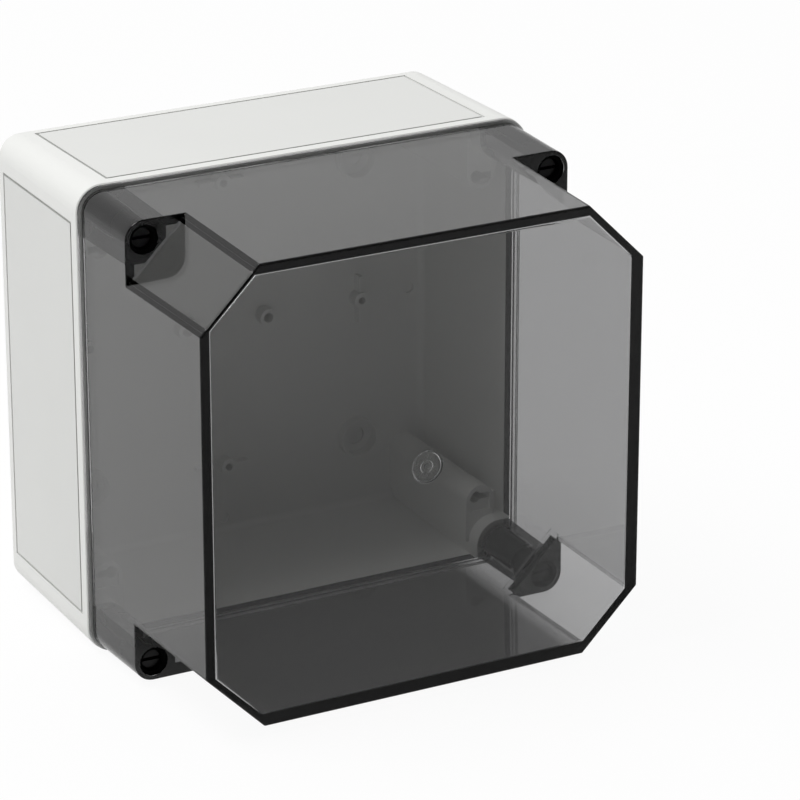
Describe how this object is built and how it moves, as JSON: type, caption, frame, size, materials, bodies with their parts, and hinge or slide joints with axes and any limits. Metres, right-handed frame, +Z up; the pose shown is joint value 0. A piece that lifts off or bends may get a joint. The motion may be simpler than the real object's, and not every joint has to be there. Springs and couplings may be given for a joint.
{
  "type": "plastic enclosure",
  "caption": "Square wall enclosure: light grey moulded base with a deep smoke-clear cover on captive corner screws, sealed at the rim.",
  "frame": {"origin": "on the ground under the middle of the enclosure, centred in width and depth", "axes": "+Z up, +Y towards the wall that the back face meets, +X to the right as seen from the front"},
  "size_m": [0.182, 0.165, 0.18],
  "materials": {
    "base_grey": "fine satin grain, light grey",
    "smoke_clear": "polished, smoke-tinted and transparent",
    "seal_rubber": "matt black",
    "screw_black": "satin black",
    "ring_rubber": "matt black"
  },
  "bodies": {
    "base": {"base": "base_grey", "rim_seal": "seal_rubber"},
    "cover": {"cover": "smoke_clear"},
    "ring_top_left": {"screw_ring_top_left": "ring_rubber"},
    "screw_top_left": {"cover_screw_top_left": "screw_black"},
    "ring_top_right": {"screw_ring_top_right": "ring_rubber"},
    "screw_top_right": {"cover_screw_top_right": "screw_black"},
    "ring_bottom_right": {"screw_ring_bottom_right": "ring_rubber"},
    "screw_bottom_right": {"cover_screw_bottom_right": "screw_black"},
    "ring_bottom_left": {"screw_ring_bottom_left": "ring_rubber"},
    "screw_bottom_left": {"cover_screw_bottom_left": "screw_black"}
  },
  "joints": [
    {"name": "cover_pull", "type": "slide", "parent": "base", "child": "cover", "axis": [0, -1, 0], "range_m": [0, 0.1]},
    {"name": "screw_rise_top_left", "type": "slide", "parent": "cover", "child": "ring_top_left", "axis": [0, -1, 0], "range_m": [0, 0.008]},
    {"name": "screw_turn_top_left", "type": "hinge", "parent": "ring_top_left", "child": "screw_top_left", "pos_m": [-0.0814, -0.0231, 0.1704], "axis": [0, -1, 0], "range_deg": [0, 1440.5]},
    {"name": "screw_rise_top_right", "type": "slide", "parent": "cover", "child": "ring_top_right", "axis": [0, -1, 0], "range_m": [0, 0.008]},
    {"name": "screw_turn_top_right", "type": "hinge", "parent": "ring_top_right", "child": "screw_top_right", "pos_m": [0.0814, -0.0231, 0.1704], "axis": [0, -1, 0], "range_deg": [0, 1440.5]},
    {"name": "screw_rise_bottom_right", "type": "slide", "parent": "cover", "child": "ring_bottom_right", "axis": [0, -1, 0], "range_m": [0, 0.008]},
    {"name": "screw_turn_bottom_right", "type": "hinge", "parent": "ring_bottom_right", "child": "screw_bottom_right", "pos_m": [0.0814, -0.0231, 0.0096], "axis": [0, -1, 0], "range_deg": [0, 1440.5]},
    {"name": "screw_rise_bottom_left", "type": "slide", "parent": "cover", "child": "ring_bottom_left", "axis": [0, -1, 0], "range_m": [0, 0.008]},
    {"name": "screw_turn_bottom_left", "type": "hinge", "parent": "ring_bottom_left", "child": "screw_bottom_left", "pos_m": [-0.0814, -0.0231, 0.0096], "axis": [0, -1, 0], "range_deg": [0, 1440.5]}
  ],
  "couplings": [
    {"joint": "screw_turn_top_left", "follows": "screw_rise_top_left", "rad_per_m": 3141.6},
    {"joint": "screw_turn_top_right", "follows": "screw_rise_top_right", "rad_per_m": 3141.6},
    {"joint": "screw_turn_bottom_right", "follows": "screw_rise_bottom_right", "rad_per_m": 3141.6},
    {"joint": "screw_turn_bottom_left", "follows": "screw_rise_bottom_left", "rad_per_m": 3141.6}
  ]
}
